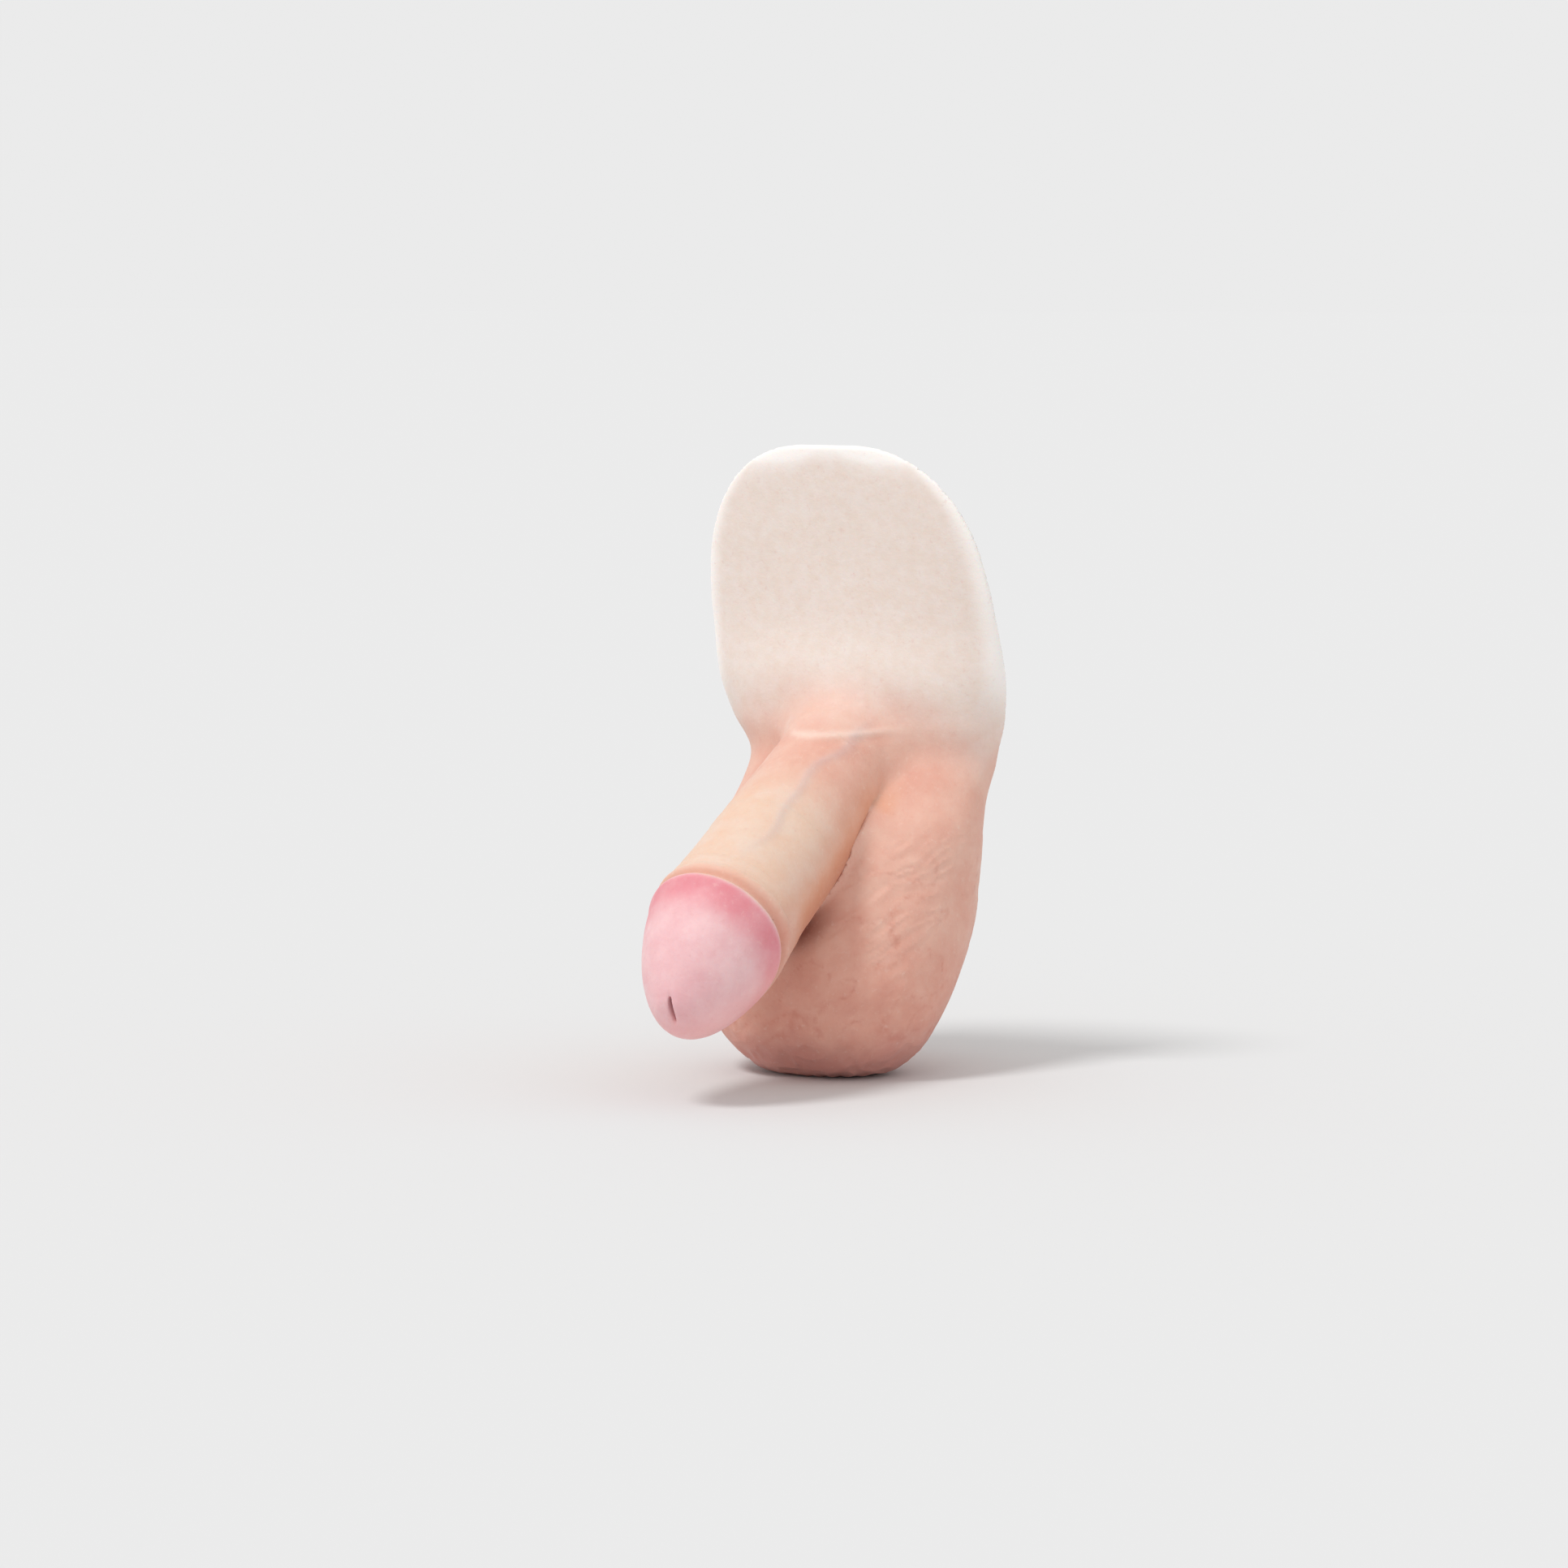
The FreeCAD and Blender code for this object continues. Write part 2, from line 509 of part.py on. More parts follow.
def build():
    skin, gap = "sizes.skin_thick", "sizes.bond_gap"
    outside, bore = size("shaft_radius"), size("shaft_radius") - size("skin_thick")
    core, core_cell = bore - size("bond_gap"), f"sizes.shaft_radius - {skin} - {gap}"
    pieces = {}

    # Tab, mound and scrotum in one skin, with the shaft's root grown out of them and a fold in the tab.
    whole = rooted_form("outer", "0", "0")
    hollow = rooted_form("inner", skin, "5")
    beyond_barrel, beyond_cup = flex_tools()
    mesh = make_mesh("mesh_panel")
    let_in = cut("skin_let_in", whole, mesh)
    pieces["base_skin"] = cut("base_skin", cut("skin_shell", let_in, hollow), beyond_barrel)
    pieces["tab_top_skin"] = common("tab_top_skin", let_in, beyond_cup)
    pieces["back_mesh_lower"] = cut("back_mesh_lower", mesh, beyond_barrel)
    pieces["back_mesh_upper"] = common("back_mesh_upper", mesh, beyond_cup)

    # What fills that skin: the pad over the gel, both clear of the core, and two inserts in the gel.
    fill = rooted_form("fill", f"({skin} + {gap})", "5")
    pieces["shaft_root_core"] = make_root_core("shaft_root_core")
    far_off = "2 * sizes.shaft_length"
    core_room = shaft_bar("core_room", f"{core_cell} + {gap}", f"sizes.core_at - {gap}", far_off)
    above_gel = room_above("above_gel", "sizes.pad_floor")
    pieces["mound_pad"] = cut("mound_pad", common("pad_fill", fill, above_gel), core_room)
    gel_ceiling = room_above("gel_ceiling", f"sizes.pad_floor - {gap}")
    gel = cut("gel_fill", cut("gel_block", fill, gel_ceiling), core_room)
    pockets = []
    for hand, side in (("left", 1), ("right", -1)):
        pockets.append(make_insert(f"pocket_{hand}", side, "sizes.insert_clear", "sizes.insert_play"))
        pieces[f"insert_{hand}"] = make_insert(f"insert_{hand}", side, "0", "0")
    pieces["scrotum_gel"] = cut("scrotum_gel", gel, fuse("pockets", *pockets))

    # The near length of the shaft, from the lifting joint's cup to the swinging joint's dome.
    cup_radius = size("lift_ball") + size("flex_gap")
    cup = (size("lift_at"), "sizes.lift_at", cup_radius, "sizes.lift_ball + sizes.flex_gap")
    dome = (size("swing_at"), "sizes.swing_at", size("swing_ball"), "sizes.swing_ball")
    skin_profile = segment(outside, "sizes.shaft_radius", bore, f"sizes.shaft_radius - {skin}", cup, dome)
    pieces["shaft_near_skin"] = turned("shaft_near_skin", skin_profile)
    pieces["shaft_near_core"] = turned("shaft_near_core", segment(core, core_cell, 0, "", cup, dome))

    # The far length, and the glans moulded over the nose of its core.
    swing_cup = doc.addObject("Part::Sphere", "swing_cup")
    bind(swing_cup, Radius="sizes.swing_ball + sizes.flex_gap")
    along_shaft(swing_cup, "sizes.swing_at")
    far_end = f"sizes.glans_at - {gap}"
    far_bar = shaft_bar("far_bar", "sizes.shaft_radius", "sizes.swing_at", far_end)
    far_bore = shaft_bar("far_bore", f"sizes.shaft_radius - {skin}", "sizes.swing_at", "sizes.glans_at")
    pieces["shaft_far_skin"] = cut("shaft_far_skin", cut("far_tube", far_bar, far_bore), swing_cup)
    far_core = shaft_bar("far_core", core_cell, "sizes.swing_at", far_end)
    nose_root = shaft_bar("nose_root", "sizes.nose_radius", f"sizes.glans_at - 2 * {gap}", "sizes.glans_at")
    nose = dome_solid("nose", "sizes.nose_radius", "sizes.nose_length", "sizes.glans_at")
    pieces["shaft_far_core"] = cut("shaft_far_core", fuse("far_plug", far_core, nose_root, nose), swing_cup)
    nose_wide, nose_long = f"sizes.nose_radius + {gap}", f"sizes.nose_length + {gap}"
    nose_room = dome_solid("nose_room", nose_wide, nose_long, "sizes.glans_at")
    pieces["glans"] = cut("glans", make_glans_form("glans_form"), nose_room)
    return pieces


def check(pieces):
    """Stops if any object failed, or any piece is empty or not valid."""
    bad = [o.Name for o in doc.Objects if "Invalid" in o.State or "Error" in o.State]
    if bad:
        raise SystemExit(f"these objects failed: {bad}")
    for name, piece in pieces.items():
        shape = piece.Shape
        if shape.isNull() or not shape.isValid() or shape.Volume < 1.0:
            raise SystemExit(f"{name} has no sound shape")
        print(f"{name}: {len(shape.Solids)} solid, {shape.Volume / 1000:.2f} cm3, valid {shape.isValid()}")


fill_sheet()
PIECES = build()
doc.recompute()
check(PIECES)
os.makedirs("parts", exist_ok=True)
for node, piece in PIECES.items():
    piece.Label = node
    piece.Shape.exportStep(f"parts/{node}.step")
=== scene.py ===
"""The looks of the silicone external genital prosthesis.

Its skin is modelled here as one continuous soft surface. Each form is a signed distance field in
millimetres, with its folds, wrinkles and vein in the field, and a surface net turns the field into a
mesh of quads.
"""

import math
from itertools import product

import bpy
import numpy as np
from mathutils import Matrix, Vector


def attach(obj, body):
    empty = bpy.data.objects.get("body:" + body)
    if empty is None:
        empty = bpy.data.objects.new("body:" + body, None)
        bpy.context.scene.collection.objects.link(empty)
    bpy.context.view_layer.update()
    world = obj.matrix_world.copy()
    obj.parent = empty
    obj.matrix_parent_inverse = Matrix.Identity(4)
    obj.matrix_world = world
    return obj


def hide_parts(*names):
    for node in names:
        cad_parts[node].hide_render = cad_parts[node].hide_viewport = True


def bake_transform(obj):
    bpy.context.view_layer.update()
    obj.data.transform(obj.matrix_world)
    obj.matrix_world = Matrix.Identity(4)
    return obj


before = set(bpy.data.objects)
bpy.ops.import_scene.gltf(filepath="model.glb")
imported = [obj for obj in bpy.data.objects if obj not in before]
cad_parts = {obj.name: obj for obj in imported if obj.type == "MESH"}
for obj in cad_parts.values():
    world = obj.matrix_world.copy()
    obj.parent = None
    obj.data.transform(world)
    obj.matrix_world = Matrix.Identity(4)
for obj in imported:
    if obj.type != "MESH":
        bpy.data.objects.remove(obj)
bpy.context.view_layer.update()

MM = 0.001

# The shaft's own frame, in millimetres. Its axis starts at ROOT and runs along AHEAD, and ABOVE is square
# to it. The back is a plane, leaning back by LEAN.
PITCH = math.radians(31.0)
LEAN = math.radians(16.5)
ROOT = np.array([0.0, 13.0, 88.0])
AHEAD = np.array([0.0, -math.cos(PITCH), -math.sin(PITCH)])
ABOVE = np.array([0.0, -math.sin(PITCH), math.cos(PITCH)])
BACK_POINT = np.array([0.0, 21.0, 88.0])
BACK_NORMAL = np.array([0.0, math.cos(LEAN), math.sin(LEAN)])

TOP = 167.4  # the height of the tab's upper edge
SHAFT_START = 19.0  # along the axis, where the shaft's own skin starts, inside the mound
SEAM_AT = 24.0  # where it comes out of the mound's
LENGTH_CUT = 52.0  # where the near length of the shaft's skin meets the far one
RIM_AT = 86.6  # where the glans's rim crosses the top of the shaft
TIP = 117.0  # where the glans ends

# Level sections of the tab, mound and scrotum: height, half width, half depth, y of the middle.
BODY = np.array([
    (-4.0, 12.0, 9.0, -5.0), (0.0, 16.5, 12.0, -5.5), (3.0, 20.4, 15.9, -6.0), (9.0, 26.6, 21.0, -6.0),
    (20.0, 33.4, 27.2, -3.5), (35.0, 37.0, 31.0, 1.5), (52.0, 37.6, 29.5, 6.0), (67.0, 37.2, 25.0, 10.6),
    (76.0, 36.4, 20.0, 15.6), (84.0, 37.0, 17.6, 19.2), (93.0, 41.2, 16.4, 18.6), (104.0, 43.7, 13.4, 15.2),
    (118.0, 43.6, 8.4, 11.1), (132.0, 42.4, 5.7, 6.9), (145.0, 39.2, 4.1, 3.1), (154.0, 34.2, 3.1, 0.4),
    (160.0, 28.6, 2.5, -1.3), (164.0, 22.4, 2.0, -2.5), (166.4, 16.0, 1.6, -3.2), (168.0, 9.0, 1.2, -3.7),
])

# Sections square to the shaft's axis: place along it, half width, half height, how far above the axis.
# The first eight are the shaft's, and the rest are the glans's.
SHAFT = np.array([
    (10.0, 16.3, 16.7, 0.0), (20.0, 16.3, 16.8, 0.0), (24.0, 16.4, 16.9, 0.0), (34.0, 16.8, 17.2, 0.0),
    (55.0, 17.7, 17.7, 0.0), (70.0, 18.1, 17.9, 0.1), (80.0, 18.8, 18.5, 0.0), (87.0, 18.5, 18.9, -0.2),
    (91.0, 18.0, 18.7, -0.7), (95.5, 17.0, 18.0, -1.4), (100.5, 15.4, 16.7, -2.4), (105.5, 13.3, 14.8, -3.4),
    (110.0, 10.5, 12.1, -4.3), (113.0, 8.1, 9.5, -4.8), (115.2, 5.7, 6.8, -5.0), (116.5, 3.6, 4.3, -5.0),
    (117.2, 1.6, 1.9, -5.0),
])
SHAFT_ALONE = SHAFT[:8]


# ------------------------------------------------------------------ small maths


def ramp(value, low, high):
    """0 at low, 1 at high, and smooth between."""
    t = np.clip((value - low) / (high - low), 0.0, 1.0)
    return t * t * (3.0 - 2.0 * t)


def bump(value, centre, width):
    """1 at centre, falling off to either side."""
    return np.exp(-(((value - centre) / width) ** 2))


def soft_min(a, b, k):
    """The smaller of two distances, rounded over a reach of k where they meet."""
    h = np.clip(0.5 + 0.5 * (b - a) / k, 0.0, 1.0)
    return b + (a - b) * h - k * h * (1.0 - h)


def soft_max(a, b, k):
    return -soft_min(-a, -b, k)


def through(place, table):
    """The columns of a table of sections at each place, by smooth cubic curves, and their slopes."""
    at = table[:, 0]
    place = np.clip(place, at[0], at[-1])
    slopes = np.gradient(table[:, 1:], at, axis=0)
    i = np.clip(np.searchsorted(at, place) - 1, 0, len(at) - 2)
    span = (at[i + 1] - at[i])[..., None]
    t = np.clip((place - at[i])[..., None] / span, 0.0, 1.0)
    a, b = table[i, 1:], table[i + 1, 1:]
    m, n = slopes[i] * span, slopes[i + 1] * span
    value = a + t * m + t**2 * (3 * (b - a) - 2 * m - n) + t**3 * (2 * (a - b) + m + n)
    slope = (m + 2 * t * (3 * (b - a) - 2 * m - n) + 3 * t**2 * (2 * (a - b) + m + n)) / span
    return np.moveaxis(value, -1, 0), np.moveaxis(slope, -1, 0)


def noise(points, seed):
    """Smooth value noise from -1 to 1, one cell to the unit."""
    table = np.random.default_rng(seed).uniform(-1.0, 1.0, (32, 32, 32)).astype(np.float32)
    cell = np.floor(points).astype(int)
    part = points - cell
    part = part * part * (3.0 - 2.0 * part)
    total = np.zeros(len(points))
    for corner in product((0, 1), repeat=3):
        weight = np.prod(np.where(corner, part, 1.0 - part), axis=1)
        total += weight * table[tuple(((cell + corner) & 31).T)]
    return total


def layered(points, seed, layers=3):
    """Noise with finer noise on top, each layer half the size and half the strength of the last."""
    return sum(noise(points * 2.0**i, seed + i) * 0.5**i for i in range(layers))


# ------------------------------------------------------------------ forms


def in_shaft(points):
    """Points as (x, height above the axis, distance along it)."""
    from_root = points - ROOT
    return np.stack([points[:, 0], from_root @ ABOVE, from_root @ AHEAD], 1)


def from_shaft(local):
    """The way back from in_shaft."""
    return ROOT + local[:, :1] * np.array([1.0, 0, 0]) + local[:, 1:2] * ABOVE + local[:, 2:3] * AHEAD


def oval(across, deep, sections, slopes):
    """Distance from a stack of ellipses, about right near the surface."""
    wide, tall, middle = sections
    d_wide, d_tall, d_middle = slopes
    off = deep - middle
    q = np.sqrt((across / wide) ** 2 + (off / tall) ** 2) + 1e-6
    lean = (across**2 * d_wide / wide**3 + off**2 * d_tall / tall**3 + off * d_middle / tall**2) / q
    steep = np.sqrt((across / wide**2) ** 2 + (off / tall**2) ** 2 + (lean * q) ** 2) / q
    return (q - 1.0) / np.maximum(steep, 1e-3)


def body_form(points):
    """Tab, mound and scrotum, with the shaft's flared root, before wrinkles."""
    x, y, z = points.T
    local = in_shaft(points)
    height, along = local[:, 1], local[:, 2]
    out = np.hypot(x, height)
    sections, slopes = through(z, BODY)
    off_centre = 1.2 * ramp(z, 22.0, 4.0) + 1.4 * bump(z, 82.0, 9.0) + 0.4 * bump(z, 150.0, 12.0)
    sac = oval(x - off_centre, y, sections, slopes)
    # Two soft lobes with a shallow groove between, strongest low down in front.
    low = ramp(z, 62.0, 30.0) * ramp(z, -4.0, 8.0)
    sac = sac + 1.1 * bump(x, 0.8, 5.0) * low - 0.9 * (bump(x, 17.0, 12.0) + bump(x, -17.0, 12.0)) * low
    sac = soft_max(sac, 0.25 - z, 2.2)
    sac = soft_max(sac, z - TOP, 1.2)
    # A web of skin rises to meet the shaft and thins out along it. The shaft lies in the bed cut through it.
    girth = np.interp(along, SHAFT_ALONE[:, 0], SHAFT_ALONE[:, 1])
    beside = ramp(height, 5.0, -6.0)
    web = 1.0 + 8.0 * ramp(along, 60.0, 26.0) * beside
    sac = soft_min(sac, soft_max(out - girth + 4.0 * (1.0 - beside), along - 60.0, 6.0), web)
    bed = girth - 0.3 * beside + 5.5 * ramp(along, 52.0, 70.0) - out
    bed = soft_min(bed, along - 21.0, 3.0)
    sac = soft_max(sac, bed, 1.0)
    spread = 4.0 * ramp(height, 5.0, -12.0) - 3.5 * ramp(height, 2.0, 14.0)
    flare = girth - 0.15 + 0.45 * ramp(along, 26.0, 14.0) + spread * ramp(along, 17.0, -8.0)
    root = soft_max(out - flare, along - 29.0, 1.0)
    root = soft_max(root, -12.0 - along, 1.0)
    form = soft_min(sac, root, 0.5 + (2.5 + 7.0 * ramp(height, -8.0, 8.0)) * ramp(along, 23.0, 10.0))
    back = (points - BACK_POINT) @ BACK_NORMAL
    return soft_max(form, back, 0.9)


def rim_place(local):
    """Where the glans's rim is, along the axis: level on top, swept forward underneath."""
    round_from_below = np.arctan2(np.abs(local[:, 0]), -local[:, 1])
    return RIM_AT + 13.5 * ((1.0 + np.cos(round_from_below)) / 2.0) ** 5


def shaft_form(local):
    """Shaft and glans in one, before wrinkles."""
    x, height, along = local.T
    sections, slopes = through(along, SHAFT)
    form = oval(x, height, sections, slopes)
    past_rim = along - rim_place(local)
    under = ramp(height, -10.0, -17.0)  # the rim fades out underneath
    aside = np.abs(x) / 18.0  # the rim is lower at the sides, where loose skin stands level with it
    form = form - (0.95 - 0.35 * aside) * bump(past_rim, 1.3, 2.2) * (1.0 - 0.75 * under)
    form = form + 1.25 * bump(past_rim, -1.5, 0.95) * (1.0 - 0.75 * under)
    form = form - (0.35 + 0.35 * aside) * bump(past_rim, -3.9, 1.5)
    form = form + 0.30 * bump(past_rim, -6.0, 0.55) * ramp(height, -6.0, 6.0)
    form = form - 0.2 * bump(past_rim, -8.0, 1.6)
    form = form + 0.18 * bump(past_rim, -9.9, 0.6) * ramp(height, -2.0, 10.0)
    # The meatus: a short upright slit with soft lips.
    slit = np.sqrt(((x - 0.9) / 0.62) ** 2 + ((height + 2.4) / 3.6) ** 2 + ((along - 116.0) / 4.6) ** 2)
    lips = (bump(x, 2.6, 1.2) + bump(x, -0.8, 1.2)) * bump(height, -2.0, 3.2)
    form = form - 0.45 * lips * ramp(along, 106.0, 111.0) * ramp(along, 117.5, 114.5)
    form = soft_max(form, (1.0 - slit) * 0.62, 0.5)
    return soft_max(soft_max(form, SHAFT_START - along, 0.8), along - TIP, 1.2)


def wrinkles(points):
    """How far the skin stands out, in millimetres, over body and shaft alike."""
    x, y, z = points.T
    local = in_shaft(points)
    height, along = local[:, 1], local[:, 2]
    out = np.hypot(x, height)
    on_shaft = ramp(out, 21.5, 19.0) * ramp(along, 16.0, 26.0)
    sac = ramp(z, 74.0, 52.0) * (1.0 - on_shaft)
    # Broad soft unevenness everywhere but the tab, whose face is nearly smooth.
    rise = 0.45 * layered(points / 17.0, 3, 2) * sac + 0.10 * layered(points / 12.0, 5, 2)
    bent = slanting(points)
    ridge = 1.0 - np.abs(noise(bent / np.array([15.0, 7.0, 4.6]), 31)) * 2.2
    fine = 1.0 - np.abs(noise(bent / np.array([6.0, 3.4, 1.9]), 37)) * 2.2
    where = np.clip(0.55 + 0.9 * noise(points / 19.0, 41), 0.0, 1.3)
    rise = rise + sac * where * (0.12 * ridge + 0.13 * fine)
    # Tight puckering round the foot.
    foot = ramp(z, 20.0, 4.0)
    pucker = 1.0 - np.abs(noise(points / np.array([3.4, 3.4, 6.5]), 47)) * 2.4
    rise = rise + 0.34 * foot * pucker
    # A fold across the mound just above the shaft, with a painted highlight along its ridge.
    rise = rise + 0.40 * fold_line(points) - 0.14 * fold_line(points + np.array([0.0, 0.0, 2.2]))
    # Shaft: loose skin in faint rings, and one raised vein wandering along its top.
    rings = noise(np.stack([local[:, 0] / 16.0, height / 16.0, along / 2.6], 1), 61)
    behind = ramp(rim_place(local) - along, -1.0, 2.0)
    rise = rise + 0.10 * rings * on_shaft * behind
    rise = rise + 0.26 * vein_line(local) * behind
    # Nothing stands out from the flat back.
    return rise * ramp((BACK_POINT - points) @ BACK_NORMAL, 0.4, 4.0)


def slanting(points):
    """Points turned and bent so that what is long in the first direction slants over the scrotum."""
    x, y, z = points.T
    slant = np.stack([0.80 * x + 0.60 * z, y * 0.8, -0.60 * x + 0.80 * z], 1)
    return slant + 2.2 * np.stack([noise(points / (11.0 + i), 21 + i) for i in range(3)], 1)


def fold_line(points):
    """1 along the fold that crosses the mound just above the shaft, falling off to either side; its ridge
    takes a painted highlight.
    """
    x, y, z = points.T
    level = 91.6 + 0.5 * noise(points / 9.0, 51) - 0.02 * x
    return bump(z, level, 0.9) * ramp(x, -11.0, -3.0) * ramp(x, 21.0, 11.0) * ramp(y, 12.0, 5.0)


def vein_line(local):
    """1 along the vein on the shaft's top, falling off to either side."""
    x, height, along = local.T
    centre = 11.0 - 0.055 * along + 1.2 * np.sin(along / 8.0) + 0.5 * np.sin(along / 3.1)
    return bump(x, centre, 1.25) * ramp(along, 4.0, 18.0) * ramp(along, 80.0, 58.0) * ramp(height, 2.0, 10.0)


# ------------------------------------------------------------------ meshes


def surface_net(field, origin, step):
    """Points and quads of the surface where a sampled field crosses zero."""
    below = field < 0.0
    cells = tuple(n - 1 for n in field.shape)
    corners = list(product((0, 1), repeat=3))
    part = [tuple(slice(c, c + n) for c, n in zip(corner, cells)) for corner in corners]
    count = sum(below[p].astype(np.int8) for p in part)
    active = (count > 0) & (count < 8)
    number = np.full(cells, -1, np.int64)
    number[active] = np.arange(active.sum())
    where = np.argwhere(active)
    total, hits = np.zeros((len(where), 3)), np.zeros(len(where))
    for corner in corners:
        for axis in range(3):
            if corner[axis]:
                continue
            far = tuple(c + (i == axis) for i, c in enumerate(corner))
            a = field[tuple((where + corner).T)].astype(float)
            b = field[tuple((where + far).T)].astype(float)
            crossed = (a < 0) != (b < 0)
            t = np.where(crossed, a / np.where(crossed, a - b, 1.0), 0.0)
            place = where + np.array(corner, float)
            place[:, axis] += t
            total[crossed] += place[crossed]
            hits[crossed] += 1
    points = origin + step * total / hits[:, None]
    quads = []
    for axis in range(3):
        u, v = (axis + 1) % 3, (axis + 2) % 3
        near = [slice(1, -1)] * 3
        near[axis] = slice(0, -1)
        far = list(near)
        far[axis] = slice(1, None)
        a, b = below[tuple(near)], below[tuple(far)]
        crossing = np.argwhere(a != b)
        leaving = a[tuple(crossing.T)]
        offset = np.ones(3, int)
        offset[axis] = 0
        base = crossing + offset
        ring = []
        for du, dv in ((0, 0), (1, 0), (1, 1), (0, 1)):
            cell = base.copy()
            cell[:, u] -= du
            cell[:, v] -= dv
            ring.append(number[tuple(cell.T)])
        ring = np.stack(ring, 1)
        ring[~leaving] = ring[~leaving][:, ::-1]
        quads.append(ring)
    return points, np.concatenate(quads)


def sampled(low, high, step, field):
    """The field on a lattice, as a block."""
    axes = [np.arange(a, b + step, step) for a, b in zip(low, high)]
    grid = np.stack(np.meshgrid(*axes, indexing="ij"), -1).reshape(-1, 3)
    values = np.concatenate([field(chunk) for chunk in np.array_split(grid, max(1, len(grid) // 250000))])
    return values.reshape([len(a) for a in axes])


def relaxed(points, quads, field, rounds=2):
    """Evens out the net, then puts its points most of the way back on the surface."""
    for _ in range(rounds):
        total, hits = np.zeros_like(points), np.zeros(len(points))
        for i in range(4):
            for j in (quads[:, (i + 1) % 4], quads[:, i - 1]):
                np.add.at(total, quads[:, i], points[j])
                np.add.at(hits, quads[:, i], 1)
        evened = 0.4 * points + 0.6 * total / np.maximum(hits, 1)[:, None]
        points = evened - slope_of(field, evened) * field(evened)[:, None]
    return 0.7 * points + 0.3 * evened


def slope_of(field, points, reach=0.35):
    """The unit direction in which the field rises."""
    steps = np.eye(3) * reach
    slope = np.stack([field(points + s) - field(points - s) for s in steps], 1)
    return slope / np.maximum(np.linalg.norm(slope, axis=1), 1e-9)[:, None]


def make_piece(name, points, quads, normals, masks, rest):
    """A closed mesh in metres, any open ring capped, with its normals and its painted masks."""
    used, index = np.unique(quads, return_inverse=True)
    quads = index.reshape(quads.shape)
    rings = open_rings(quads)
    mesh = bpy.data.meshes.new(name)
    mesh.from_pydata((points[used] * MM).tolist(), [], quads.tolist() + rings)
    mesh.polygons.foreach_set("use_smooth", np.ones(len(mesh.polygons), bool))
    for key, values in masks.items():
        mesh.attributes.new(key, "FLOAT", "POINT").data.foreach_set("value", values[used].astype(np.float32))
    where = mesh.attributes.new("rest_mm", "FLOAT_VECTOR", "POINT")
    where.data.foreach_set("vector", rest[used].astype(np.float32).ravel())
    corner = np.concatenate([quads.ravel()] + [np.array(r) for r in rings])
    aim = normals[used][corner]
    at = len(quads) * 4
    for ring in rings:
        spread = points[used][ring]
        flat = sum(np.cross(spread[i - 1] - spread[0], spread[i] - spread[0]) for i in range(2, len(ring)))
        aim[at : at + len(ring)] = flat / max(np.linalg.norm(flat), 1e-9)
        at += len(ring)
    mesh.update()
    mesh.normals_split_custom_set(aim.tolist())
    made = bpy.data.objects.new(name, mesh)
    bpy.context.scene.collection.objects.link(made)
    return made


def open_rings(quads):
    """Each open edge loop, in the order that makes a face which closes it."""
    edges = np.concatenate([quads[:, [i, (i + 1) % 4]] for i in range(4)])
    seen = {(a, b) for a, b in edges.tolist()}
    onward = {}
    for a, b in sorted(seen):
        if (b, a) not in seen:
            onward.setdefault(b, []).append(a)
    rings = []
    while onward:
        path = [next(iter(onward))]
        while path[-1] in onward:
            here = onward[path[-1]].pop()
            if not onward[path[-1]]:
                del onward[path[-1]]
            if here in path:
                rings.append(path[path.index(here) :])
                path = path[: path.index(here)]
            path.append(here)
    return rings


def biggest(quads, count):
    """Only the quads of the largest connected piece, so that no crumbs are left."""
    label = np.arange(count)
    while True:
        spread = label.copy()
        np.minimum.at(spread, quads.ravel(), np.repeat(label[quads].min(1), 4))
        spread = spread[spread]
        if (spread == label).all():
            break
        label = spread
    groups, sizes = np.unique(label[quads[:, 0]], return_counts=True)
    return quads[label[quads[:, 0]] == groups[sizes.argmax()]]


# ------------------------------------------------------------------ painted masks


